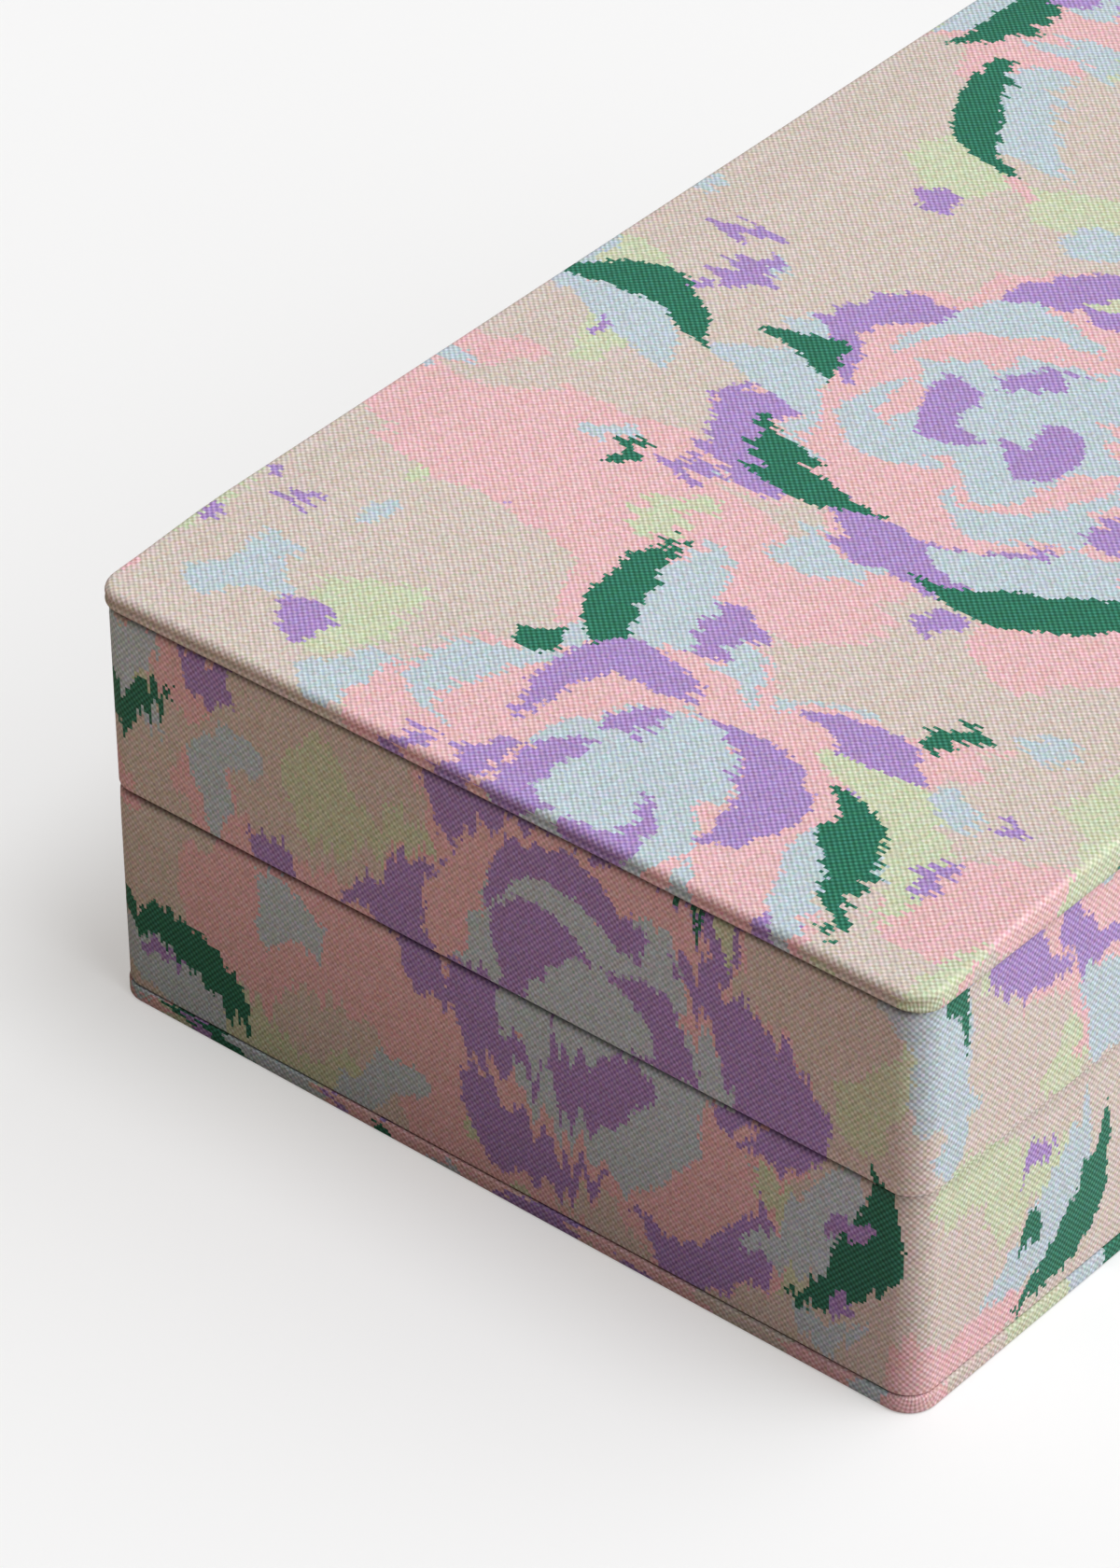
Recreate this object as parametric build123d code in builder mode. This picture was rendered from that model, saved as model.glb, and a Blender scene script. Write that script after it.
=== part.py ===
from build123d import *
import os

os.makedirs("parts", exist_ok=True)

# A cloth-covered keepsake box with a hinged lid, in millimetres.
# X is the length, +Y the hinged back, Z up, and the origin is under the middle of the closed box.

# Sizes of the closed box, over the cloth of its two panels
box_length = 160.0
box_width = 100.0
parting_height = 25.8
parting_gap = 0.5
lid_seam_height = 47.05

# How far the top and bottom panels stand proud of the walls
panel_overhang = 0.3

# Cloths, and how far each is turned in out of sight
brocade = 0.35
satin = 0.2
brocade_turn_in = 10.0
satin_turn_in = 6.0

# Wall boards, and the outer corners and edges of the cloth on them
wall_board = 3.0
wall_corner_radius = 3.0
wall_edge_radius = 0.3

# Bottom panel
base_board = 1.2
base_edge_radius = 0.5
panel_corner_radius = 3.2

# Top panel, with a thin wadding over its board
lid_board = 1.5
lid_wadding = 1.05
lid_edge_radius = 1.35

# Lining cards that stand against the walls
lining_card = 0.8
lining_drop = 1.2
lining_clearance = 0.1
glue_line = 0.2

# Padded cards on the floor of the tray and under the top panel
pad_card = 1.0
base_pad_height = 4.4
lid_pad_height = 3.4
pad_clearance = 0.3
pad_slack = 0.12
pad_corner_radius = 2.5
pad_edge_reach = 4.0
pad_crown_reach = 15.0
pad_turn_in = 8.0

# Magnets in the front of the tray, and the steel strips in the lid that they hold
magnet_length = 10.0
magnet_thickness = 2.0
magnet_depth = 4.0
keeper_depth = 1.5
magnet_spacing = 100.0
pocket_clearance = 0.05

# Cloth hinge, a strip folded in the gap at the back and glued down inside both walls
hinge_cloth = 0.18
hinge_drop = 8.0
hinge_end_inset = 6.0
hinge_clearance = 0.03

# How far up the side of a pad each ring lies, and how much of the edge reach it has drawn in
pad_ring_shares = ((0.0, 0.16), (0.3, 0.0), (0.52, 0.1), (0.72, 0.4), (0.84, 1.0))
wadding_edge_share = 0.95

# Sizes in plan, worked out from the outside inwards
cloth_length = box_length - 2 * panel_overhang
cloth_width = box_width - 2 * panel_overhang
board_length = cloth_length - 2 * brocade
board_width = cloth_width - 2 * brocade
inner_length = board_length - 2 * wall_board
inner_width = board_width - 2 * wall_board
turned_length = inner_length - 2 * brocade
turned_width = inner_width - 2 * brocade
lining_length = turned_length - 2 * glue_line
lining_width = turned_width - 2 * glue_line
lining_thickness = lining_card + 2 * satin
room_length = lining_length - 2 * lining_thickness
room_width = lining_width - 2 * lining_thickness
panel_board_length = box_length - 2 * brocade
panel_board_width = box_width - 2 * brocade
pad_length = room_length - 2 * pad_clearance
pad_width = room_width - 2 * pad_clearance

# Levels above the table
base_seam_height = base_board + 2 * brocade
base_rim_height = parting_height - parting_gap / 2
lid_rim_height = parting_height + parting_gap / 2
lid_board_height = lid_seam_height + brocade
lid_wadding_height = lid_board_height + lid_board
box_height = lid_wadding_height + lid_wadding + brocade

# Radii that follow from a neighbour
board_corner_radius = wall_corner_radius - brocade
panel_board_radius = panel_corner_radius - brocade
wadding_radius = min(lid_edge_radius - brocade, wadding_edge_share * lid_wadding)

# Each half of the box: name, level at its panel, level at its rim, and the way from panel to rim
halves = (("base", base_seam_height, base_rim_height, 1), ("lid", lid_seam_height, lid_rim_height, -1))

# Each side of the box: name and the way it faces along X and Y
sides = (("front", 0, -1), ("back", 0, 1), ("left", -1, 0), ("right", 1, 0))

# Bottom panel: a board wrapped in brocade, which is turned in over the board's upper face
with BuildPart() as base_panel_board:
    with BuildSketch(Plane.XY.offset(brocade)):
        RectangleRounded(panel_board_length, panel_board_width, panel_board_radius)
    extrude(amount=base_board)
base_panel_board.part.label = "base_panel_board"
export_step(base_panel_board.part, "parts/base_panel_board.step")

with BuildPart() as base_panel_cloth:
    with BuildSketch():
        RectangleRounded(box_length, box_width, panel_corner_radius)
    extrude(amount=base_seam_height)
    fillet(base_panel_cloth.faces().sort_by(Axis.Z)[0].edges(), base_edge_radius)
    with BuildSketch(Plane.XY.offset(brocade)):
        RectangleRounded(panel_board_length, panel_board_width, panel_board_radius)
    extrude(amount=base_board, mode=Mode.SUBTRACT)
    with BuildSketch(Plane.XY.offset(brocade + base_board)):
        Rectangle(box_length - 2 * brocade_turn_in, box_width - 2 * brocade_turn_in)
    extrude(amount=brocade, mode=Mode.SUBTRACT)
base_panel_cloth.part.label = "base_panel_cloth"
export_step(base_panel_cloth.part, "parts/base_panel_cloth.step")

# Top panel: a board with wadding over it, wrapped in brocade with a rolled upper edge
with BuildPart() as lid_panel_board:
    with BuildSketch(Plane.XY.offset(lid_board_height)):
        RectangleRounded(panel_board_length, panel_board_width, panel_board_radius)
    extrude(amount=lid_board)
lid_panel_board.part.label = "lid_panel_board"
export_step(lid_panel_board.part, "parts/lid_panel_board.step")

with BuildPart() as lid_panel_wadding:
    with BuildSketch(Plane.XY.offset(lid_wadding_height)):
        RectangleRounded(panel_board_length, panel_board_width, panel_board_radius)
    extrude(amount=lid_wadding)
    fillet(lid_panel_wadding.faces().sort_by(Axis.Z)[-1].edges(), wadding_radius)
lid_panel_wadding.part.label = "lid_panel_wadding"
export_step(lid_panel_wadding.part, "parts/lid_panel_wadding.step")

with BuildPart() as lid_panel_cloth:
    with BuildSketch(Plane.XY.offset(lid_seam_height)):
        RectangleRounded(box_length, box_width, panel_corner_radius)
    extrude(amount=box_height - lid_seam_height)
    fillet(lid_panel_cloth.faces().sort_by(Axis.Z)[-1].edges(), wadding_radius + brocade)
    with BuildSketch(Plane.XY.offset(lid_board_height)):
        RectangleRounded(panel_board_length, panel_board_width, panel_board_radius)
    extrude(amount=lid_board, mode=Mode.SUBTRACT)
    add(lid_panel_wadding.part, mode=Mode.SUBTRACT)
    with BuildSketch(Plane.XY.offset(lid_seam_height)):
        Rectangle(box_length - 2 * brocade_turn_in, box_width - 2 * brocade_turn_in)
    extrude(amount=brocade, mode=Mode.SUBTRACT)
lid_panel_cloth.part.label = "lid_panel_cloth"
export_step(lid_panel_cloth.part, "parts/lid_panel_cloth.step")

# Brocade round the walls of each half, over the rim and part way down the inside
for half, panel_level, rim_level, way in halves:
    bottom = min(panel_level, rim_level)
    height = abs(rim_level - panel_level)
    with BuildPart() as wall_cloth:
        with BuildSketch(Plane.XY.offset(bottom)):
            RectangleRounded(cloth_length, cloth_width, wall_corner_radius)
        extrude(amount=height)
        fillet(wall_cloth.faces().filter_by(Axis.Z).edges(), wall_edge_radius)
        with BuildSketch(Plane.XY.offset(bottom)):
            Rectangle(turned_length, turned_width)
        extrude(amount=height, mode=Mode.SUBTRACT)
        with BuildSketch(Plane.XY.offset(bottom + brocade)):
            RectangleRounded(board_length, board_width, board_corner_radius)
            Rectangle(inner_length, inner_width, mode=Mode.SUBTRACT)
        extrude(amount=height - 2 * brocade, mode=Mode.SUBTRACT)
        with BuildSketch(Plane.XY.offset(panel_level)):
            Rectangle(inner_length, inner_width)
        extrude(amount=way * (height - brocade_turn_in), mode=Mode.SUBTRACT)
    wall_cloth.part.label = f"{half}_wall_cloth"
    export_step(wall_cloth.part, f"parts/{half}_wall_cloth.step")

# Wall boards, butted at the corners, with pockets for the magnets and their keepers in the fronts
magnet_y = -(board_width - wall_board) / 2
magnet_places = ((-magnet_spacing / 2, magnet_y), (magnet_spacing / 2, magnet_y))
pocket_length = magnet_length + 2 * pocket_clearance
pocket_width = magnet_thickness + 2 * pocket_clearance
for half, panel_level, rim_level, way in halves:
    bottom = min(panel_level, rim_level) + brocade
    height = abs(rim_level - panel_level) - 2 * brocade
    pocket_depth = (magnet_depth if half == "base" else keeper_depth) + pocket_clearance
    for side, out_x, out_y in sides:
        place_x = out_x * (board_length - wall_board) / 2
        place_y = out_y * (board_width - wall_board) / 2
        size_x = board_length * abs(out_y) + wall_board * abs(out_x)
        size_y = inner_width * abs(out_x) + wall_board * abs(out_y)
        with BuildPart() as wall:
            with BuildSketch(Plane.XY.offset(bottom)):
                RectangleRounded(board_length, board_width, board_corner_radius)
                with Locations((place_x, place_y)):
                    Rectangle(size_x, size_y, mode=Mode.INTERSECT)
            extrude(amount=height)
            if side == "front":
                with BuildSketch(Plane.XY.offset(rim_level - way * brocade)):
                    with Locations(*magnet_places):
                        Rectangle(pocket_length, pocket_width)
                extrude(amount=-way * pocket_depth, mode=Mode.SUBTRACT)
        wall.part.label = f"{half}_{side}_wall"
        export_step(wall.part, f"parts/{half}_{side}_wall.step")

# Two bar magnets in the tray's front wall, and two steel keepers above them in the lid's
with BuildPart() as base_magnets:
    with BuildSketch(Plane.XY.offset(base_rim_height - brocade)):
        with Locations(*magnet_places):
            Rectangle(magnet_length, magnet_thickness)
    extrude(amount=-magnet_depth)
base_magnets.part.label = "base_magnets"
export_step(base_magnets.part, "parts/base_magnets.step")

with BuildPart() as lid_keepers:
    with BuildSketch(Plane.XY.offset(lid_rim_height + brocade)):
        with Locations(*magnet_places):
            Rectangle(magnet_length, magnet_thickness)
    extrude(amount=keeper_depth)
lid_keepers.part.label = "lid_keepers"
export_step(lid_keepers.part, "parts/lid_keepers.step")

# Lining cards, each with satin over its face and upper edge, turned down behind it
for half, panel_level, rim_level, way in halves:
    height = abs(rim_level - panel_level) - lining_drop
    for side, out_x, out_y in sides:
        place_x = out_x * (lining_length - lining_thickness) / 2
        place_y = out_y * (lining_width - lining_thickness) / 2
        back_x = out_x * (lining_length - satin) / 2
        back_y = out_y * (lining_width - satin) / 2
        run = lining_length * abs(out_y) + (room_width - 2 * lining_clearance) * abs(out_x)
        with BuildPart() as card:
            with BuildSketch(Plane.XY.offset(panel_level)):
                with Locations((place_x, place_y)):
                    Rectangle(
                        run * abs(out_y) + lining_card * abs(out_x),
                        run * abs(out_x) + lining_card * abs(out_y),
                    )
            extrude(amount=way * (height - satin))
        card.part.label = f"{half}_{side}_lining_card"
        export_step(card.part, f"parts/{half}_{side}_lining_card.step")

        with BuildPart() as lining:
            with BuildSketch(Plane.XY.offset(panel_level)):
                with Locations((place_x, place_y)):
                    Rectangle(
                        run * abs(out_y) + lining_thickness * abs(out_x),
                        run * abs(out_x) + lining_thickness * abs(out_y),
                    )
            extrude(amount=way * height)
            add(card.part, mode=Mode.SUBTRACT)
            with BuildSketch(Plane.XY.offset(panel_level)):
                with Locations((back_x, back_y)):
                    Rectangle(
                        run * abs(out_y) + satin * abs(out_x),
                        run * abs(out_x) + satin * abs(out_y),
                    )
            extrude(amount=way * (height - satin_turn_in), mode=Mode.SUBTRACT)
        lining.part.label = f"{half}_{side}_lining_satin"
        export_step(lining.part, f"parts/{half}_{side}_lining_satin.step")


def pad_rings(height, shrink):
    """Level above the pad's seat and inset from its full size, for each ring of its crowned outline."""
    rise = height - 2 * shrink
    rings = [(shrink + level * rise, shrink + inset * pad_edge_reach) for level, inset in pad_ring_shares]
    return rings + [(shrink + rise, shrink + pad_crown_reach)]


# A padded card in each half: card, foam and satin cover, crowned, with its sides drawn in
for half, panel_level, rim_level, way in halves:
    height = base_pad_height if half == "base" else lid_pad_height
    card_inset = satin + pad_slack + pad_ring_shares[0][1] * pad_edge_reach
    with BuildPart() as card:
        with BuildSketch(Plane.XY.offset(panel_level + way * satin)):
            RectangleRounded(pad_length - 2 * card_inset, pad_width - 2 * card_inset, pad_corner_radius)
        extrude(amount=way * pad_card)
    card.part.label = f"{half}_pad_card"
    export_step(card.part, f"parts/{half}_pad_card.step")

    with BuildPart() as foam:
        for level, inset in pad_rings(height, satin + pad_slack):
            with BuildSketch(Plane.XY.offset(panel_level + way * level)):
                RectangleRounded(pad_length - 2 * inset, pad_width - 2 * inset, pad_corner_radius)
        loft(ruled=True)
        with BuildSketch(Plane.XY.offset(panel_level)):
            Rectangle(pad_length, pad_width)
        extrude(amount=way * (satin + pad_card), mode=Mode.SUBTRACT)
    foam.part.label = f"{half}_pad_foam"
    export_step(foam.part, f"parts/{half}_pad_foam.step")

    with BuildPart() as cover:
        for level, inset in pad_rings(height, 0):
            with BuildSketch(Plane.XY.offset(panel_level + way * level)):
                RectangleRounded(pad_length - 2 * inset, pad_width - 2 * inset, pad_corner_radius)
        loft(ruled=True)
        for level, inset in pad_rings(height, satin):
            with BuildSketch(Plane.XY.offset(panel_level + way * level)):
                RectangleRounded(pad_length - 2 * inset, pad_width - 2 * inset, pad_corner_radius)
        loft(ruled=True, mode=Mode.SUBTRACT)
        with BuildSketch(Plane.XY.offset(panel_level)):
            Rectangle(pad_length - 2 * pad_turn_in, pad_width - 2 * pad_turn_in)
        extrude(amount=way * satin, mode=Mode.SUBTRACT)
    cover.part.label = f"{half}_pad_cover"
    export_step(cover.part, f"parts/{half}_pad_cover.step")

# Cloth hinge in section: a leg on each rim, a leg down each inner face, and the fold at the back
fold_radius = (parting_gap - hinge_clearance) / 2
fold_height = base_rim_height + fold_radius
fold_y = cloth_width / 2 - fold_radius
leg_y = turned_width / 2 - hinge_cloth
with BuildPart() as cloth_hinge:
    with BuildSketch(Plane.YZ):
        with Locations((fold_y, fold_height)):
            Circle(fold_radius)
        with Locations((leg_y, fold_height)):
            Rectangle(fold_y - leg_y, 2 * fold_radius, align=(Align.MIN, Align.CENTER))
            Rectangle(hinge_cloth, 2 * (fold_radius + hinge_drop), align=(Align.MIN, Align.CENTER))
        with Locations((fold_y, fold_height)):
            Circle(fold_radius - hinge_cloth, mode=Mode.SUBTRACT)
            Rectangle(
                fold_y - leg_y,
                2 * (fold_radius - hinge_cloth),
                align=(Align.MAX, Align.CENTER),
                mode=Mode.SUBTRACT,
            )
    extrude(amount=cloth_length / 2 - hinge_end_inset, both=True)
cloth_hinge.part.label = "cloth_hinge"
export_step(cloth_hinge.part, "parts/cloth_hinge.step")
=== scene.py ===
import math

import bmesh
import bpy
from mathutils import Matrix, Vector, noise


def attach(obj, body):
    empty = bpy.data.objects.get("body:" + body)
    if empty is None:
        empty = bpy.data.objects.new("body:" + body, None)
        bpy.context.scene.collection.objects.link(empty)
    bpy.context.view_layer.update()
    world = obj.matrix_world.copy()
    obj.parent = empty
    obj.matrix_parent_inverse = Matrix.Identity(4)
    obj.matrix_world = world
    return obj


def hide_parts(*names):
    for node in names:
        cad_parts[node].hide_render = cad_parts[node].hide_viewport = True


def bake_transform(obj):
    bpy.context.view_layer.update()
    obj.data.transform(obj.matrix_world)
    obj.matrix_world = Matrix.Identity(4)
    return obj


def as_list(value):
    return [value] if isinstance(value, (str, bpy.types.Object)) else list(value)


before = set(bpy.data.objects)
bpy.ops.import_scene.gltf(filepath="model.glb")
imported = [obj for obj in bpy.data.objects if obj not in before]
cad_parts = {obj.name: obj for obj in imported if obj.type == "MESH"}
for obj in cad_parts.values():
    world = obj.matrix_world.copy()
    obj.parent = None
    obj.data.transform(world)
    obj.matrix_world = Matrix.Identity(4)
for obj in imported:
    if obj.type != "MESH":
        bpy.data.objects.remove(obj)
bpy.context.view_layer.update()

# Sizes are in millimetres, as in the part's source, and become metres when a mesh is made
MM = 0.001

# The closed box over its cloth, and the walls inside the panels' overhang
box_length = 160.0
box_width = 100.0
box_height = 50.3
panel_radius = 3.2
cloth_length = 159.4
cloth_width = 99.4
cloth_radius = 3.0
base_seam = 1.9
base_rim = 25.55
lid_rim = 26.05
lid_seam = 47.05
brocade = 0.35
board_top = 48.9
wall_depth = 3.35
turn_in = 10.0

# Where in from its ends and front the padded top droops, how far, and where its edge's roll starts
end_reach = 22.0
end_droop = 1.2
front_reach = 9.0
front_droop = 0.35
roll_start = 0.9

# The parting gapes at the front, narrows along the ends and is shut tight along the hinged back
parting_gap = lid_rim - base_rim
mouth_gap = 0.5
end_gap_share = 0.6
narrowing = 1.4
shut_gap = 0.03
shut_start_y = 43.0
shut_end_y = 46.6
bead_reach = 0.42
soft_bead_reach = 0.9
shut_radius = 0.08
rim_lean = 0.05

# How far the cloth's bend reaches across and along a wall: at the rims and beside the panels
base_rim_bend = (0.42, 0.8)
lid_rim_bend = (0.14, 0.18)
base_seam_bend = (0.14, 0.2)
lid_seam_bend = (0.85, 1.15)
tight_bend = (0.12, 0.16)

# The bottom panel's side: its round edges, how far it stands back at the front, and the groove
# over it, which closes towards the back
side_foot_bend = 0.3
side_top_bend = 0.27
side_inset = 0.2
side_inset_reach = 80.0
groove_top = 1.82
groove_start_y = 22.0
groove_end_y = 46.0

# Height of the slit between a wall and its panel, at the ends and along the back
lid_slit = (0.14, 0.06)
base_slit = (0.05, 0.04)

# Levels where a panel's cloth, turning into its seam, starts to get painted shade and where that
# painted shade is full
lid_seam_shade = (47.42, 47.14)
base_seam_shade = (1.6, 1.95)

# Where the brocade's pieces were cut from the roll. The two walls' strips differ a little, so the
# pattern breaks at the parting. Both start on the back, at joint_x
lid_panel_cut = (250.0, -490.0)
base_panel_cut = (210.0, -340.0)
base_wall_cut = (-159.0, 416.0)
lid_wall_cut = (-158.5, 417.3)
joint_x = -58.0

# Lining cards and the satin on them
lining_length = 151.6
lining_width = 91.6
lining_thickness = 1.2
satin = 0.2
side_run = 89.0
lining_drop = 1.2
satin_turn_in = 6.0

# Padded cards
pad_length = 148.6
pad_width = 88.6
pad_radius = 2.5
base_pad = 4.4
lid_pad = 3.4
pad_card = 1.0
pad_turn_in = 8.0
foam_gap = 0.14
swelling_frames = 20

# Cloth hinge, and the path of its middle
hinge_half_run = 73.7
hinge_stops = 61
hinge_cloth = 0.18
hinge_leg_y = 45.91
hinge_fold_y = 48.9
hinge_low_level = 25.64
hinge_high_level = 25.93
hinge_low_end = 17.55
hinge_high_end = 34.02
hinge_corner = 0.3

# Spacing of the brocade's threads
warp_pitch = 0.333
weft_pitch = 0.367

THREAD_MAP = "threads"
WEAR_AND_SHADE = "wear_and_shade"


def math_step(operation, flip=False):
    """A Math node as a wire's method, with another value if it takes one."""
    def method(self, other=0.0):
        inputs = {0: other, 1: self} if flip else {0: self, 1: other}
        return self.finish.node("ShaderNodeMath", {"operation": operation}, inputs)
    return method


class Wire:
    """A value that comes out of a node, with the arithmetic that a finish is worked out by."""

    def __init__(self, finish, socket):
        self.finish = finish
        self.socket = socket

    __add__ = __radd__ = math_step("ADD")
    __mul__ = __rmul__ = math_step("MULTIPLY")
    __sub__ = math_step("SUBTRACT")
    __rsub__ = math_step("SUBTRACT", flip=True)
    __truediv__ = math_step("DIVIDE")
    __pow__ = math_step("POWER")
    __lt__ = math_step("LESS_THAN")
    __gt__ = math_step("GREATER_THAN")
    at_most = math_step("MINIMUM")
    at_least = math_step("MAXIMUM")
    floor = math_step("FLOOR")
    sine = math_step("SINE")
    cosine = math_step("COSINE")
    angle = math_step("ARCTAN2")
    size = math_step("ABSOLUTE")

    def held(self):
        """The value kept between 0 and 1."""
        return self.at_least(0.0).at_most(1.0)


class Finish:
    """A material that is built node by node round one Principled shader."""

    def __init__(self, name, **fixed):
        self.material = bpy.data.materials.new(name)
        self.material.use_nodes = True
        self.tree = self.material.node_tree
        self.shader = self.tree.nodes["Principled BSDF"]
        for socket, value in fixed.items():
            self.shader.inputs[socket.replace("_", " ")].default_value = value

    def node(self, kind, settings=None, inputs=None, output=0):
        made = self.tree.nodes.new(kind)
        for setting, value in (settings or {}).items():
            setattr(made, setting, value)
        for socket, value in (inputs or {}).items():
            if isinstance(value, Wire):
                self.tree.links.new(value.socket, made.inputs[socket])
            else:
                made.inputs[socket].default_value = value
        return Wire(self, made.outputs[output])

    def put(self, socket, wire):
        self.tree.links.new(wire.socket, self.shader.inputs[socket])

    def place(self):
        """Where a point is on its own object, in metres."""
        return self.node("ShaderNodeTexCoord", output="Object")

    def vector(self, operation, first, second):
        return self.node("ShaderNodeVectorMath", {"operation": operation}, {0: first, 1: second})

    def joined(self, x, y, z=0.0):
        return self.node("ShaderNodeCombineXYZ", None, {0: x, 1: y, 2: z})

    def split(self, vector):
        parts = self.node("ShaderNodeSeparateXYZ", None, {0: vector}).socket.node
        return [Wire(self, socket) for socket in parts.outputs]

    def over(self, under, mask, upper, blend="MIX"):
        settings = {"data_type": "RGBA", "blend_type": blend}
        return self.node("ShaderNodeMix", settings, {0: mask, 6: under, 7: upper}, 2)

    def times(self, colour, amount):
        return self.over(colour, 1.0, amount, "MULTIPLY")

    def cloud(self, place, size, detail=1.0, output=0):
        """Soft noise with lumps about size across: a number, or three numbers with output 1."""
        inputs = {"Vector": place, "Scale": 1.0 / size, "Detail": detail}
        return self.node("ShaderNodeTexNoise", {"noise_dimensions": "3D"}, inputs, output)

    def chance(self, vector, output=0):
        """A number from 0 to 1 drawn at random for each different vector."""
        settings = {"noise_dimensions": "3D"}
        return self.node("ShaderNodeTexWhiteNoise", settings, {"Vector": vector}, output)

    def chances(self, vector):
        """Three such numbers, as a colour."""
        return self.chance(vector, 1)

    def scatter(self, place, spacing, looseness):
        """The way from the nearest of many scattered points, and three numbers drawn for it."""
        inputs = {"Vector": place, "Scale": 1.0 / spacing, "Randomness": looseness}
        cells = self.node("ShaderNodeTexVoronoi", {"voronoi_dimensions": "2D"}, inputs)
        point = Wire(self, cells.socket.node.outputs["Position"])
        drawn = Wire(self, cells.socket.node.outputs["Color"])
        return self.split(self.vector("SUBTRACT", place, point))[:2], self.split(drawn)

    def bump(self, height, distance):
        inputs = {"Strength": 1.0, "Distance": distance, "Height": height}
        self.put("Normal", self.node("ShaderNodeBump", None, inputs))


def dye(red, green, blue):
    """A colour as it looks, from 0 to 255, as the linear values that a shader takes."""
    def linear(value):
        share = value / 255
        return share / 12.92 if share <= 0.04045 else ((share + 0.055) / 1.055) ** 2.4
    return (linear(red), linear(green), linear(blue), 1.0)


ground = dye(210, 196, 187)
pink = dye(228, 186, 188)
lilac = dye(171, 142, 197)
blue = dye(190, 203, 210)
leaf_green = dye(203, 209, 180)
dark_green = dye(42, 116, 92)


def add_flowers(cloth, place, colour):
    """Large open flowers: rings of bent petals in lilac and pale blue on pink.

    Gives the colour, and the way to the nearest flower's middle in shares of its size.
    """
    (across, along), (first, second, _) = cloth.scatter(place, spacing=73.0, looseness=0.55)
    far = (across * across + along * along) ** 0.5
    turn = along.angle(across) / (2 * math.pi)
    size = 22.5 + first * 5.5
    share = far / size
    for petals, middle, half, spread in (
        (6.0, 0.84, 0.135, 1.0),
        (4.0, 0.53, 0.125, 0.8),
        (3.0, 0.24, 0.11, 0.6),
    ):
        around = turn * petals + second * 9.0 + middle * 7.0
        petal = around.floor()
        bend = around - petal - 0.5
        bend = bend * bend
        drawn = cloth.split(cloth.chances(cloth.joined(petal, petals, first)))
        line = middle + drawn[0] * 0.16 - bend * spread
        if petals == 6.0:
            colour = cloth.over(colour, share < line + half * 0.9, pink)
            colour = cloth.over(colour, share + (second - 0.5) * 0.3 < line * 0.55, blue)
        taper = (1.0 - bend * 4.8) * (drawn[1] * 0.5 + 0.62) * half
        shape = (share - line).size() < taper
        colour = cloth.over(colour, shape, lilac)
        colour = cloth.over(colour, shape * (drawn[2] > 0.74), blue)
    return colour, share


def add_leaves(cloth, place, colour, openness):
    """Bent dark strokes, each with a pale stroke along its hollow side."""
    (across, along), (first, second, third) = cloth.scatter(place, spacing=30.0, looseness=0.8)
    angle = first * 2 * math.pi
    run = across * angle.cosine() + along * angle.sine()
    side = along * angle.cosine() - across * angle.sine()
    bend = side - run * run * 0.034
    length = 10.0 + second * 5.0
    taper = 1.0 - (run / length) ** 2.0
    shown = openness > 0.78
    pale = ((bend - 5.2).size() < taper * 4.1) * (third > 0.25) * shown
    colour = cloth.over(colour, pale, blue)
    fresh = ((bend + 5.3).size() < taper * 3.1) * (second > 0.6) * shown
    colour = cloth.over(colour, fresh, leaf_green)
    dark = (bend.size() < taper * 2.8) * (third > 0.3) * shown
    return cloth.over(colour, dark, dark_green)


def add_dabs(cloth, place, colour, openness):
    """Short dabs of lilac round the flowers, and a few dark ones among them."""
    (across, along), (first, second, third) = cloth.scatter(place, spacing=10.5, looseness=0.9)
    across = across * (0.55 + second * 0.7)
    near = (across * across + along * along) ** 0.5 < 1.3 + first * 1.3
    ring = (openness > 0.98) * (openness < 1.7)
    colour = cloth.over(colour, near * ring * (third > 0.66), lilac)
    return cloth.over(colour, near * (openness > 0.3) * (third > 0.94), dark_green)


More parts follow.
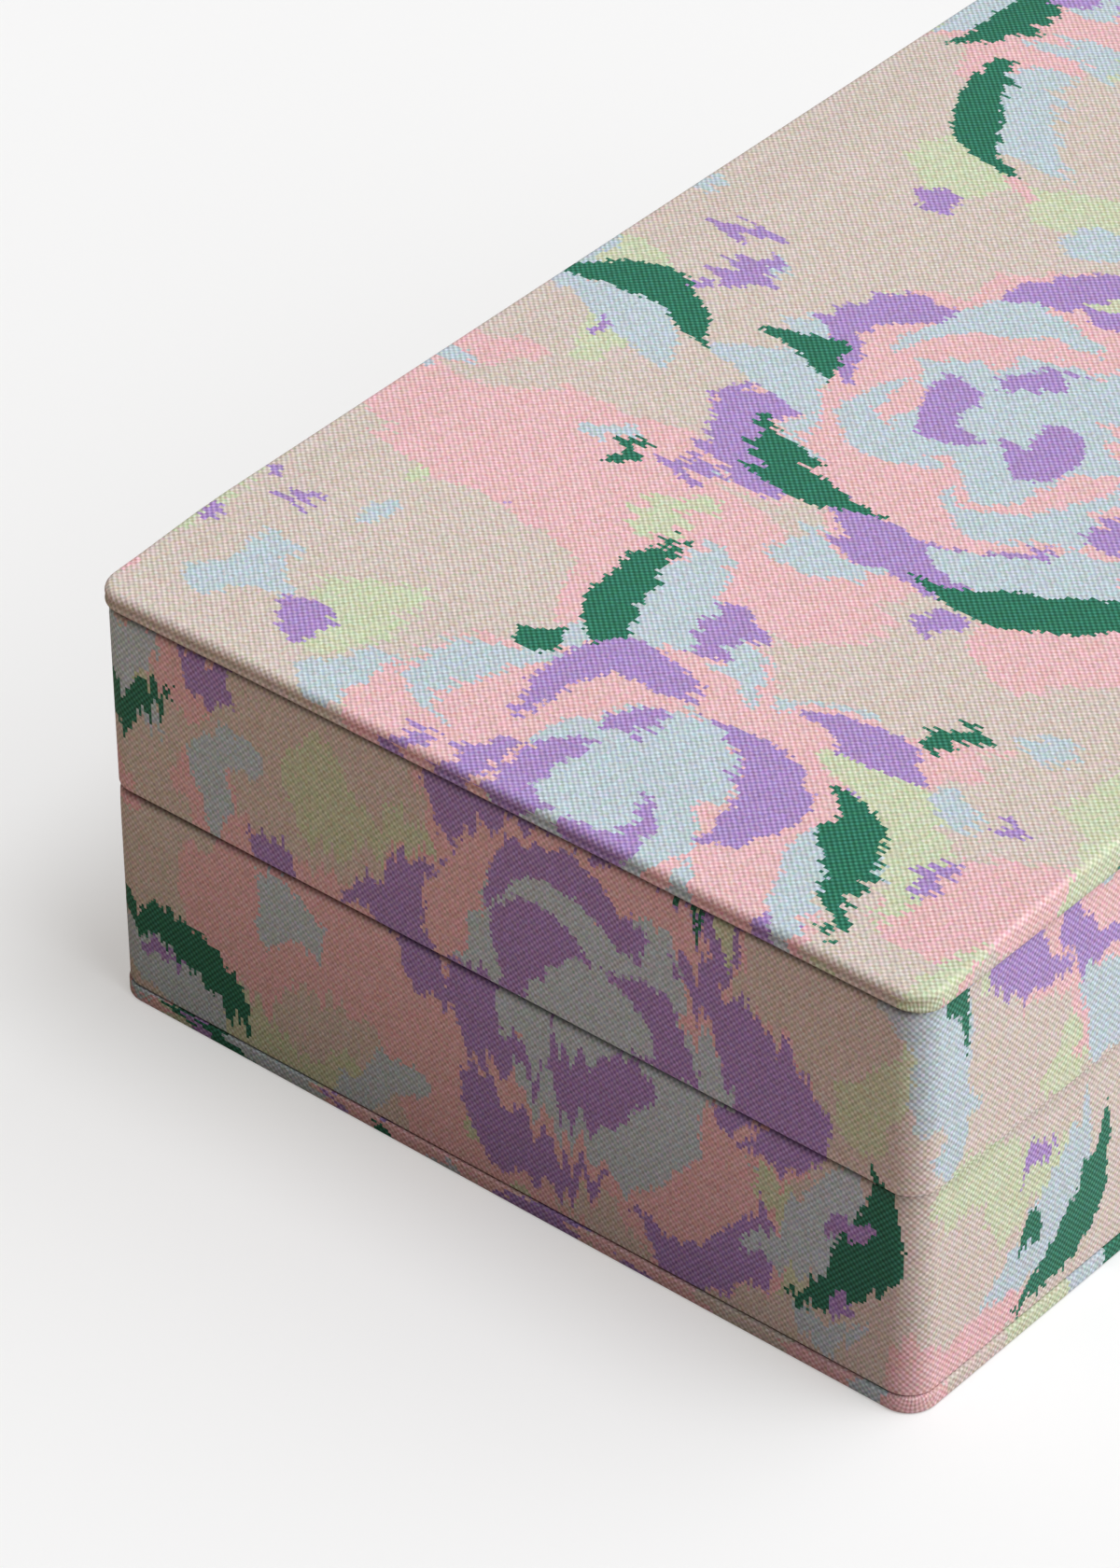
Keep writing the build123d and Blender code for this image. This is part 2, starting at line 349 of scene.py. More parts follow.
def make_brocade():
    """Plain-woven silk whose pattern was printed on the warp before weaving, so its edges run."""
    cloth = Finish("brocade", Specular_IOR_Level=0.25, Sheen_Weight=0.05, Sheen_Roughness=0.45)
    threads = cloth.node("ShaderNodeUVMap", {"uv_map": THREAD_MAP})
    across, along, _ = cloth.split(threads)
    warp = (across / warp_pitch).floor()
    weft = (along / weft_pitch).floor()

    # Each warp thread has slipped a little along its run, in some places more than in others
    loose = (cloth.cloud(threads, 17.0, 0.0) - 0.3).at_least(0.0)
    bunch = (cloth.cloud(cloth.joined(warp * 0.29, 7.3), 1.0, 0.0) - 0.44).at_least(0.0)
    single = cloth.chance(cloth.joined(warp, 3.1)) - 0.5
    slip = (bunch * 24.0 + single * 3.2) * loose + single * 0.4
    drawn = cloth.chances(cloth.joined(warp, weft))
    crossing = cloth.split(drawn)
    slip = slip + (crossing[0] - 0.5) * 0.7
    across_weave = (warp + crossing[1] * 1.6) * warp_pitch
    straight = cloth.joined(across_weave, (weft + 0.5) * weft_pitch + slip)

    # What is drawn on it wanders, the flowers more than the leaves
    wander = cloth.vector("SUBTRACT", cloth.cloud(straight, 11.0, 2.0, 1), (0.5, 0.5, 0.5))
    place, calm_place = (
        cloth.vector("ADD", straight, cloth.vector("MULTIPLY", wander, (most, most, 0.0)))
        for most in (11.0, 4.5)
    )

    colour = cloth.over(ground, cloth.cloud(place, 30.0, 1.5) > 0.56, pink)
    for away, size, edge, stain in (
        ((400.0, 150.0, 0.0), 17.0, 0.62, leaf_green),
        ((120.0, 520.0, 0.0), 14.0, 0.635, blue),
    ):
        far_place = cloth.vector("ADD", place, away)
        colour = cloth.over(colour, cloth.cloud(far_place, size, 1.0) > edge, stain)
    colour, openness = add_flowers(cloth, place, colour)
    colour = add_leaves(cloth, calm_place, colour, openness)
    colour = add_dabs(cloth, place, colour, openness)

    # A thread is paler where it arches over and darker where it dives: partly the paler weft,
    # partly painted light on the crowns and painted shade in the hollows between threads. No two
    # match
    ripple = (across * (math.pi / warp_pitch)).sine() * (along * (math.pi / weft_pitch)).sine()
    arched = 0.5 - ripple * 0.5
    colour = cloth.node("ShaderNodeGamma", None, {"Color": colour, "Gamma": 1.3 - arched * 0.52})
    shade = arched * 0.28 + crossing[2] * 0.15 + 0.765
    tint = cloth.vector("MULTIPLY", drawn, (0.16, 0.16, 0.16))
    tint = cloth.vector("SUBTRACT", tint, (0.08, 0.08, 0.08))
    colour = cloth.times(colour, cloth.vector("ADD", cloth.joined(shade, shade, shade), tint))

    # Edges that hands rub are a little paler. Below 0 the attribute paints shade: the cloth is
    # darkened towards dark brown where it turns into a seam or the parting, and on the tray's wall
    # under the lid's edge
    wear_and_shade = cloth.node("ShaderNodeAttribute", {"attribute_name": WEAR_AND_SHADE}, None, 2)
    rubbed = wear_and_shade.at_least(0.0) * cloth.cloud(threads, 2.2, 2.0) * 0.3
    colour = cloth.over(colour, rubbed, dye(222, 214, 204))
    painted_shade = (-1.0 * wear_and_shade).at_least(0.0) * 0.8
    colour = cloth.over(colour, painted_shade, dye(48, 38, 33))

    cloth.put("Base Color", colour)
    cloth.put("Roughness", 0.74 - arched * 0.12)
    cloth.bump(arched, 0.00007)
    return cloth.material


def make_satin():
    """Smooth ivory lining satin with long floats, faint slubs and soft creases."""
    cloth = Finish(
        "lining_satin", Specular_IOR_Level=0.55, Anisotropic=0.6,
        Sheen_Weight=0.08, Sheen_Roughness=0.3,
    )
    place = cloth.place()
    floats = cloth.cloud(cloth.vector("MULTIPLY", place, (6000.0, 700.0, 700.0)), 1.0, 2.0)
    slubs = cloth.cloud(cloth.vector("MULTIPLY", place, (30.0, 700.0, 300.0)), 1.0, 2.0)
    broad = cloth.cloud(place, 0.03, 2.0)
    stray = cloth.vector("MULTIPLY", cloth.cloud(place, 0.02, 1.0, 1), (0.02, 0.02, 0.0))
    bent = cloth.vector("ADD", place, stray)
    creases = cloth.cloud(cloth.vector("MULTIPLY", bent, (60.0, 150.0, 60.0)), 1.0, 1.0)
    creases = (1.0 - (creases - 0.5).size() * 7.0).at_least(0.0) * broad
    colour = cloth.over(dye(222, 204, 178), broad, dye(234, 219, 196))
    colour = cloth.over(colour, floats * 0.5, dye(198, 177, 148))
    cloth.put("Base Color", colour)
    cloth.put("Roughness", 0.26 + slubs * 0.2)
    cloth.bump(floats * 0.3 + slubs * 0.5 + creases * 1.6, 0.00009)
    return cloth.material


def make_hinge_cloth():
    """Close plain tape."""
    cloth = Finish("hinge_tape", Specular_IOR_Level=0.3, Sheen_Weight=0.15)
    thread_pitch = 0.0003
    across, along, up = cloth.split(cloth.place())
    warp = (across * (math.pi / thread_pitch)).sine()
    weft = ((along + up) * (math.pi / thread_pitch)).sine()
    crown = warp * weft * 0.5 + 0.5
    cloth.put("Base Color", cloth.over(dye(176, 160, 138), crown, dye(206, 192, 172)))
    cloth.put("Roughness", 0.85 - crown * 0.1)
    cloth.bump(crown, 0.00005)
    return cloth.material


def make_board(name, pale, deep, fleck_size, bump_distance):
    """Pressed fibre: pale ground, darker flecks and short hairs."""
    board = Finish(name, Specular_IOR_Level=0.2)
    place = board.place()
    flecks = board.cloud(place, fleck_size, 4.0)
    hairs = board.cloud(board.vector("MULTIPLY", place, (1.0, 5.0, 5.0)), fleck_size * 2, 3.0)
    colour = board.over(pale, flecks, deep)
    colour = board.over(colour, hairs > 0.66, deep)
    board.put("Base Color", colour)
    board.put("Roughness", 0.8 + flecks * 0.15)
    board.bump(flecks + hairs * 0.5, bump_distance)
    return board.material


def make_padding(name, pale, deep, lump):
    """Foam or wadding, with open cells or fibres of the size given."""
    stuff = Finish(name, Specular_IOR_Level=0.2, Roughness=0.95)
    inputs = {"Vector": stuff.place(), "Scale": 1.0 / lump}
    cells = stuff.node("ShaderNodeTexVoronoi", {"feature": "F1"}, inputs)
    stuff.put("Base Color", stuff.over(deep, cells, pale))
    stuff.bump(cells, 0.0002)
    return stuff.material


def make_metal(name, tone, roughness):
    """Brushed metal with faint scratches."""
    metal = Finish(name, Metallic=1.0)
    stretched = metal.vector("MULTIPLY", metal.place(), (60.0, 4000.0, 4000.0))
    lines = metal.cloud(stretched, 1.0, 2.0)
    metal.put("Base Color", metal.over(tone, lines * 0.3, dye(120, 120, 122)))
    metal.put("Roughness", lines * 0.2 + roughness)
    metal.bump(lines, 0.00001)
    return metal.material


brocade_cloth = make_brocade()
lining_satin = make_satin()
hinge_tape = make_hinge_cloth()
wall_board = make_board("wall_fibreboard", dye(190, 160, 122), dye(136, 104, 72), 0.0009, 0.00008)
grey_board = make_board("grey_card", dye(176, 172, 163), dye(128, 123, 114), 0.0006, 0.00005)
wadding = make_padding("cotton_wadding", dye(240, 238, 232), dye(214, 210, 202), 0.0012)
foam = make_padding("soft_foam", dye(238, 230, 206), dye(206, 194, 160), 0.0007)
nickel = make_metal("magnet_plating", dye(206, 205, 200), 0.2)
steel = make_metal("keeper_steel", dye(176, 178, 182), 0.32)


class Outline:
    """A rectangle with rounded corners, walked round anticlockwise as seen from above."""

    def __init__(self, length, width, radius, step=2.5, corner_steps=12, joint_x=None):
        self.half_length = length / 2
        self.half_width = width / 2
        self.radius = radius
        walk = []
        sides = ((1, -1, 1, 1, 0), (1, 1, -1, 1, 90), (-1, 1, -1, -1, 180), (-1, -1, 1, -1, 270))
        for from_x, from_y, to_x, to_y, facing in sides:
            count = round((width if from_x == to_x else length) / step)
            for k in range(count):
                x = from_x + (to_x - from_x) * (k / count)
                y = from_y + (to_y - from_y) * (k / count)
                walk.append((x, y, math.radians(facing)))
            for k in range(corner_steps):
                walk.append((to_x, to_y, math.radians(facing + 90 * k / corner_steps)))
        if joint_x is not None:
            backs = [k for k, stop in enumerate(walk) if stop[1] == 1 and abs(stop[0]) < 1]
            start = min(backs, key=lambda k: abs(walk[k][0] * self.half_length - joint_x))
            walk = walk[start:] + walk[:start]
        self.walk = walk
        self.count = len(walk)
        self.run = [0.0]
        for k in range(self.count):
            here = Vector(self.point(k, 0))
            there = Vector(self.point(k + 1, 0))
            self.run.append(self.run[-1] + (there - here).length)

    def point(self, k, offset):
        """The place of stop k on the outline moved out by offset."""
        share_x, share_y, facing = self.walk[k % self.count]
        bend = max(self.radius + offset, 0.0)
        x = share_x * (self.half_length + offset - bend) + bend * math.cos(facing)
        y = share_y * (self.half_width + offset - bend) + bend * math.sin(facing)
        return x, y


def arc(centre, radius_across, radius_up, start, end, steps):
    """Points of part of an ellipse in a section, from one angle to another in degrees."""
    points = []
    for k in range(steps + 1):
        angle = math.radians(start + (end - start) * k / steps)
        across, up = radius_across * math.cos(angle), radius_up * math.sin(angle)
        points.append((centre[0] + across, centre[1] + up))
    return points


def finer(points, longest):
    """The same broken line with every part longer than that divided."""
    made = [points[0]]
    for start, end in zip(points, points[1:]):
        parts = max(1, math.ceil(math.dist(start, end) / longest))
        for k in range(1, parts + 1):
            share = k / parts
            made.append(tuple(a + (b - a) * share for a, b in zip(start, end)))
    return made


def smooth_line(points, parts):
    """A smooth line through the points, with the parts given between each pair."""
    made = []
    for k in range(len(points) - 1):
        before = points[max(k - 1, 0)]
        start, end = points[k], points[k + 1]
        after = points[min(k + 2, len(points) - 1)]
        for n in range(parts):
            t = n / parts
            made.append(tuple(
                0.5 * (2 * b + (c - a) * t + (2 * a - 5 * b + 4 * c - d) * t * t
                       + (3 * b - a - 3 * c + d) * t ** 3)
                for a, b, c, d in zip(before, start, end, after)
            ))
    made.append(points[-1])
    return made


def travelled(points, start=0.0):
    """How far along the line each of its points is."""
    along = [start]
    for here, there in zip(points, points[1:]):
        along.append(along[-1] + math.dist(here[:2], there[:2]))
    return along


def add_object(name, data):
    """An object in the scene, of the mesh, lamp or camera given."""
    thing = bpy.data.objects.new(name, data)
    bpy.context.scene.collection.objects.link(thing)
    return thing


def add_shape(name, corners, edges, faces):
    mesh = bpy.data.meshes.new(name)
    mesh.from_pydata(corners, edges, faces)
    return add_object(name, mesh)


def close_skin(shaper, mesh, sharp):
    """Join corners that meet, turn the faces outwards and smooth all but sharp edges."""
    bmesh.ops.remove_doubles(shaper, verts=shaper.verts, dist=1e-6)
    bmesh.ops.recalc_face_normals(shaper, faces=shaper.faces)
    shaper.to_mesh(mesh)
    shaper.free()
    mesh.shade_smooth()
    mesh.set_sharp_from_angle(angle=math.radians(sharp))


def make_mesh(
    name, columns, rows, place, material,
    thread=None, wear_and_shade=None, round_trip=True, sharp=50.0, middle=None,
):
    """A skin over a grid of places. Rows close on themselves, and columns do so on a round trip.

    Without a round trip the two ends get a face each. The rows middle and middle + 1 both lie on
    the middle line, where the skin closes without faces between them. Thread gives where a corner
    is on its cloth, and the wear-and-shade function how rubbed it is above 0, or below 0 how much
    painted shade it gets.
    """
    mesh = bpy.data.meshes.new(name)
    shaper = bmesh.new()
    map_layer = shaper.loops.layers.uv.new(THREAD_MAP) if thread else None
    wear_and_shade_layer = shaper.verts.layers.float.new(WEAR_AND_SHADE) if wear_and_shade else None
    grid = []
    for k in range(columns if round_trip else columns + 1):
        line = []
        for j in range(rows):
            corner = shaper.verts.new(Vector(place(k, j)) * MM)
            if wear_and_shade:
                corner[wear_and_shade_layer] = wear_and_shade(k, j)
            line.append(corner)
        grid.append(line)
    for k in range(columns):
        near = grid[k]
        far = grid[(k + 1) % len(grid)]
        for j in range(rows):
            if j == middle:
                continue
            up = (j + 1) % rows
            face = shaper.faces.new((near[j], far[j], far[up], near[up]))
            stops = ((k, j), (k + 1, j), (k + 1, j + 1), (k, j + 1)) if thread else ()
            for loop, stop in zip(face.loops, stops):
                loop[map_layer].uv = thread(*stop)
    if not round_trip:
        shaper.faces.new(list(reversed(grid[0])))
        shaper.faces.new(grid[-1])
    close_skin(shaper, mesh, sharp)
    mesh.materials.append(material)
    return add_object(name, mesh)


def eased(share):
    """The share held between 0 and 1, with a gentle start and end."""
    share = min(1.0, max(0.0, share))
    return share * share * (3 - 2 * share)


def backness(facing):
    """How far a stretch of the outline belongs to the hinged back, from 0 to 1."""
    return eased((math.sin(facing) - 0.25) / 0.75)


def make_brocade_piece(name, outline, sections, place_on_roll, wear_and_shade_on_face, to_middle=False):
    """Brocade round an outline, from the section at each stop: its face, and its back inside."""
    on_face = len(sections[0][0])
    rows = on_face + len(sections[0][1])

    def place(k, j):
        face, back = sections[k % outline.count]
        offset, level = (face + back)[j]
        return *outline.point(k, offset), level

    def thread(k, j):
        return place_on_roll(k, min(j, on_face - 1))

    def wear_and_shade(k, j):
        return wear_and_shade_on_face(k, j) if j < on_face else 0.0

    middle = rows - 1 if to_middle else None
    return make_mesh(name, outline.count, rows, place, brocade_cloth, thread, wear_and_shade, middle=middle)


def make_panel_cloth(name, section_at, seam_shade, cut):
    """Brocade over a panel, whose section runs from the middle outwards and back inside."""
    outline = Outline(box_length, box_width, panel_radius, 4.0, 14)
    sections = [section_at(outline, k) for k in range(outline.count)]
    reaches = [travelled(outer, outer[0][0]) for outer, inner in sections]

    def place_on_roll(k, j):
        x, y = outline.point(k, reaches[k % outline.count][j])
        return x + cut[0], y + cut[1]

    def wear_and_shade(k, j):
        """Painted shade where the cloth turns in next to the wall, weaker along the back."""
        offset, level = sections[k][0][j]
        depth = (level - seam_shade[0]) / (seam_shade[1] - seam_shade[0])
        if offset < -2.5 or not 0.0 < depth < 3.0:
            return 0.0
        return -0.8 * eased(depth) * (1 - 0.6 * backness(outline.walk[k][2]))

    return make_brocade_piece(name, outline, sections, place_on_roll, wear_and_shade, to_middle=True)


def crown_level(x, y):
    """Height of the padded top, which droops towards the ends and a little towards the front."""
    end = eased((abs(x) - box_length / 2 + end_reach) / (end_reach - roll_start))
    front = eased((-y - box_width / 2 + front_reach) / (front_reach - roll_start))
    return box_height - math.hypot(end_droop * end, front_droop * front)


def lid_panel_section(outline, k):
    """Flat top, soft rolled edge over the wadding, faint hollow, then the lip over the board.

    Along the hinged back the cloth is pulled straight over a small edge.
    """
    soft = 1 - backness(outline.walk[k][2])
    roll = 0.6 + 0.17 * soft
    proud = 0.04
    hollow = 0.27 * soft
    lip = 0.12 + 0.26 * soft
    edge = crown_level(*outline.point(k, -roll - proud))
    heart = (-proud - roll, edge - roll)
    steps = (
        -box_width / 2, -42.0, -34.0, -28.0, -22.0, -18.0, -14.0, -11.0,
        -9.0, -7.5, -6.0, -4.6, -3.4, -2.4, -1.6,
    )
    outer = [(offset, crown_level(*outline.point(k, offset))) for offset in steps]
    outer += arc(heart, roll, roll, 90, 0, 9)
    for share, level in ((0.55, 48.3), (1.0, 48.12), (0.8, 47.92), (0.3, 47.72)):
        outer.append((-proud - hollow * share, level))
    outer += arc((-0.01 - lip, lid_seam + lip), lip, lip, 20, -90, 6)
    outer += [(-turn_in, lid_seam)]
    lowest = board_top + 0.03
    inner = [(-turn_in, lid_seam + brocade), (-0.345, lid_seam + brocade)]
    inner += [(-0.345, board_top + 0.005), (-0.6, lowest)]
    inner += [(-proud - roll, max(edge - brocade, lowest))]
    for offset, level in reversed(outer[:len(steps)]):
        inner.append((offset, max(level - brocade, lowest)))
    return outer, inner


def base_panel_section(outline, k):
    """Flat bottom, upright side, and a groove above it that closes towards the back."""
    x, y = outline.point(k, 0)
    closed = eased((y - groove_start_y) / (groove_end_y - groove_start_y))
    top = groove_top + (base_seam - 0.02 - groove_top) * closed
    foot, shoulder = side_foot_bend, side_top_bend
    outer = finer([(-box_width / 2, 0.0), (-1.2, 0.0)], 8.0)
    inset = side_inset * (1 - eased((y + box_width / 2) / side_inset_reach))
    outer += arc((-inset - foot, foot), foot, foot, -90, 0, 6)
    outer += arc((-inset - shoulder, top - shoulder), shoulder, shoulder, 0, 90, 6)
    outer += [(-0.6, top), (-1.0, top), (-1.6, base_seam), (-turn_in, base_seam)]
    inner = [(-turn_in, base_seam - brocade), (-1.2, base_seam - brocade)]
    inner += [(-brocade + 0.008, 1.556), (-brocade + 0.008, brocade)]
    inner += finer([(-1.0, brocade), (-box_width / 2, brocade)], 8.0)
    return outer, inner


lid_panel_cloth = make_panel_cloth(
    "lid_panel_brocade", lid_panel_section, lid_seam_shade, lid_panel_cut
)
base_panel_cloth = make_panel_cloth(
    "base_panel_brocade", base_panel_section, base_seam_shade, base_panel_cut
)


def shutness(y):
    """How far the parting is shut at a distance from front to back, from 0 to 1."""
    return eased((y - shut_start_y) / (shut_end_y - shut_start_y))


def parting_at(y):
    """Height of the gap between the two rims at a distance from front to back."""
    along = min(1.0, max(0.0, y / cloth_width + 0.5))
    gape = mouth_gap * (1 - (1 - end_gap_share) * along ** narrowing)
    return shut_gap + (gape - shut_gap) * (1 - shutness(y))


def between(loose, tight, share):
    """A pair of sizes part of the way from the loose ones to the tight ones."""
    return tuple(a + (b - a) * share for a, b in zip(loose, tight))


def make_wall_cloth(name, seam, rim, way, rim_bend, seam_bend, slit, lean, cut):
    """The strip round the walls: under the panel, up the face, over the rim and down the inside.

    Way is 1 for the tray, whose rim is above its seam, and -1 for the lid.
    """
    outline = Outline(cloth_length, cloth_width, cloth_radius, 1.6, 14, joint_x)
    edge_row = 9
    level_row = 10

    def section(k):
        """Both rims swell to close the parting at the back, and the lid's alone elsewhere."""
        x, y = outline.point(k, 0)
        tight = shutness(y)
        backed = backness(outline.walk[k][2])
        tray_share = 0.5 * eased((y - 34.0) / 12.0) - 0.2 * (1 - backed)
        swell = (parting_gap - parting_at(y)) * (1 - tray_share if way < 0 else tray_share)
        crest = rim + way * swell - 0.12 * (1 - tight)
        foot = seam + way * (slit[0] + (slit[1] - slit[0]) * backed)
        across, up = between(seam_bend, tight_bend, backed)
        face = [(-wall_depth, foot), (-0.9, foot)]
        face += arc((-across, foot + way * up), across, up * way, -90, 0, 6)
        face += [(0.0, foot + way * (up + 0.3)), (0.0, seam + way * 2.4), (0.0, seam + way * 11.0)]
        lean_in = lean * (1 - tight)
        across, up = between(rim_bend, (shut_radius, shut_radius), tight)
        for share, below in ((0.0, 3.6), (0.2, 2.4), (0.6, 1.6), (0.92, up + 0.3)):
            face.append((-lean_in * share, rim - way * below))
        face += arc((-across - lean_in, crest - way * up), across, up * way, 0, 90, 6)
        reach = bead_reach + (soft_bead_reach - bead_reach) * (1 - tight)
        face += [(-reach, crest), (-reach - 0.08, rim + way * 0.3 * swell), (-reach - 0.2, rim)]
        face += [(-wall_depth, rim)]
        face += arc((-wall_depth - brocade + 0.3, rim - way * 0.3), -0.3, 0.3 * way, 90, 0, 3)
        face += [(-wall_depth - brocade, rim - way * turn_in)]
        back = [(-wall_depth, rim - way * turn_in), (-wall_depth, rim - way * brocade)]
        back += [(-brocade, rim - way * brocade), (-brocade, seam + way * brocade)]
        back += [(-wall_depth, seam + way * brocade)]
        return face, back

    sections = [section(k) for k in range(outline.count)]
    lengths = [travelled(face) for face, back in sections]

    def place_on_roll(k, j):
        along = lengths[k % outline.count]
        level = sections[k % outline.count][0][level_row][1]
        height = level + way * (along[j] - along[level_row])
        return outline.run[k] + cut[0], height + cut[1]

    def wear_and_shade(k, j):
        """Painted shade beside the panel, in the parting and on the tray under the lid's edge;
        rubbed at the panel's corners.
        """
        face = sections[k][0]
        facing = outline.walk[k][2]
        loose = 1 - 0.6 * backness(facing)
        if j < edge_row:
            reach, most = (0.4, 1.0) if way < 0 else (0.2, 0.4)
            return -loose * eased(-face[j][0] / reach) * most
        if j > edge_row:
            below = max(0.0, 1 - way * (face[-1][1] + way * turn_in - face[j][1]) / 0.9)
            within = eased((-face[j][0] - 0.05) / 0.3) * eased((2.0 + face[j][0]) / 1.2)
            return -loose * (0.62 * within + (0.46 * below * (1 - within) if way > 0 else 0.0))
        return 0.35 * abs(math.sin(2 * facing))

    return make_brocade_piece(name, outline, sections, place_on_roll, wear_and_shade)


base_wall_cloth = make_wall_cloth(
    "base_wall_brocade", base_seam, base_rim, 1,
    base_rim_bend, base_seam_bend, base_slit, rim_lean, base_wall_cut,
)
lid_wall_cloth = make_wall_cloth(
    "lid_wall_brocade", lid_seam, lid_rim, -1,
    lid_rim_bend, lid_seam_bend, lid_slit, 0.0, lid_wall_cut,
)


def make_wadding():
    """The thin layer between the top board and its cloth, pressed flat along the ends."""
    outline = Outline(box_length, box_width, panel_radius, 8.0, 8)
    offsets = (-1.0, -1.8, -3.6, -6.2, -9.0, -14.0, -20.0, -26.0, -36.0, -box_width / 2)
    under = (-box_width / 2, -20.0, -0.8)
    rows = len(under) + len(offsets)

    def place(k, j):
        x, y = outline.point(k, (under + offsets)[j])
        if j < len(under):
            return x, y, board_top + 0.01
        return x, y, max(crown_level(x, y) - brocade - 0.02, board_top + 0.02)

    return make_mesh("lid_wadding", outline.count, rows, place, wadding, middle=rows - 1)


lid_wadding = make_wadding()


def make_lining_satin(half, seam, rim, way, side, out_x, out_y):
    """Satin over the room side and rim edge of one lining card, and down behind it."""
    height = abs(rim - seam) - lining_drop
    run = lining_length if out_y else side_run
    steps = round(run / 2.5)
    inner = lining_thickness / 2
    middle = (lining_length if out_x else lining_width) / 2 - inner
    front = [(-inner, 0.0), (-inner, height - 0.45)]
    front += arc((-inner + 0.45, height - 0.45), -0.45, 0.45, 0, 90, 5)[1:]
    front += arc((inner - 0.35, height - 0.35), 0.35, 0.35, 90, 0, 4)
    front += [(inner, height - satin_turn_in)]
    front = finer(front, 1.6)
    section = front + [(inner - satin, height - satin_turn_in), (inner - satin, height - satin)]
    section += [(satin - inner, height - satin), (satin - inner, 0.0)]

    def place(k, j):
        across, level = section[j]
        along = run * (k / steps - 0.5)
        if j < len(front) and across < 0 and 0.5 < level < height - 0.3:
            own = middle + out_x * 3.0 + out_y * 7.0 + way * 11.0
            spot = Vector((along * 0.05, level * 0.16, own))
            across += 0.08 * noise.noise(spot) + 0.03 * noise.noise(spot * 4.0)
        x = out_x * (middle + across) + along * abs(out_y)
        y = out_y * (middle + across) + along * abs(out_x)
        return x, y, seam + way * level

    return make_mesh(
        f"{half}_{side}_satin", steps, len(section), place, lining_satin,
        round_trip=False, sharp=60.0,
    )


sides = (("front", 0, -1), ("back", 0, 1), ("left", -1, 0), ("right", 1, 0))
halves = (("base", base_seam, base_rim, 1), ("lid", lid_seam, lid_rim, -1))
linings = {}
for half, seam, rim, way in halves:
    for side, out_x, out_y in sides:
        linings[half, side] = make_lining_satin(half, seam, rim, way, side, out_x, out_y)


def pad_section(height, shrink, open_under):
    """The crowned section of a pad: in under it, round its drawn-in side and up to its middle."""
    rings = (
        (-0.64, 0.0), (-0.12, 0.12), (0.0, 0.3), (-0.4, 0.52), (-1.6, 0.72),
        (-4.2, 0.86), (-9.0, 0.94), (-16.0, 0.985), (-26.0, 1.0),
    )
    rise = height - 2 * shrink
    curve = [(offset - shrink, shrink + level * rise) for offset, level in rings]
    section = smooth_line(curve, 4)
    top = shrink + rise
    return [(-open_under, shrink), (-3.0, shrink)] + section + [(-pad_width / 2, top)]


def swollen(length, width, step, seed):
    """Cloth held by its edges over a pad and pushed out by its filling.

    Gives how full the pad is at a place, from 0 at its edge to 1. It is simulated ten times as
    large, because Blender's cloth is made for larger things.
    """
    scale = 0.01
    across, down = round(length / step), round(width / step)
    corners, held = [], []
    for i in range(across + 1):
        for j in range(down + 1):
            x, y = length * (i / across - 0.5), width * (j / down - 0.5)
            edge = i in (0, across) or j in (0, down)
            if edge:
                held.append(len(corners))
            lift = 0.0 if edge else 0.4 * noise.noise(Vector((x * 0.13, y * 0.13, seed)))
            corners.append((x * scale, y * scale, lift * scale))
    row = down + 1
    faces = []
    for i in range(across):
        for j in range(down):
            here = i * row + j
            faces.append((here, here + row, here + row + 1, here + 1))
    sheet = add_shape("pad_sheet", corners, [], faces)
    scene = bpy.context.scene
    sheet.vertex_groups.new(name="held").add(held, 1.0, "REPLACE")
    cloth = sheet.modifiers.new("swelling", "CLOTH")
    cloth.point_cache.frame_end = swelling_frames
    for setting, value in (
        ("quality", 8), ("mass", 0.3),
        ("tension_stiffness", 15.0), ("compression_stiffness", 15.0),
        ("shear_stiffness", 5.0), ("bending_stiffness", 0.05),
        ("use_pressure", True), ("uniform_pressure_force", 4.0),
        ("vertex_group_mass", "held"), ("shrink_min", -0.05),
    ):
        setattr(cloth.settings, setting, value)
    cloth.settings.effector_weights.gravity = 0.0
    for frame_number in range(1, swelling_frames + 1):
        scene.frame_set(frame_number)
    shaped = sheet.evaluated_get(bpy.context.evaluated_depsgraph_get()).data.vertices
    fullness = [1 - math.exp(-max(corner.co.z / scale, 0.0) / 2.4) for corner in shaped]
    # The sheet goes with its mesh
    bpy.data.meshes.remove(sheet.data)
    scene.frame_set(1)

    def full_at(x, y):
        u = min(max((x / length + 0.5) * across, 0.0), across - 0.001)
        v = min(max((y / width + 0.5) * down, 0.0), down - 0.001)
        i, j = int(u), int(v)
        near, far = (
            fullness[k * row + j] * (1 - v + j) + fullness[k * row + j + 1] * (v - j)
            for k in (i, i + 1)
        )
        return near * (1 - u + i) + far * (u - i)

    return full_at


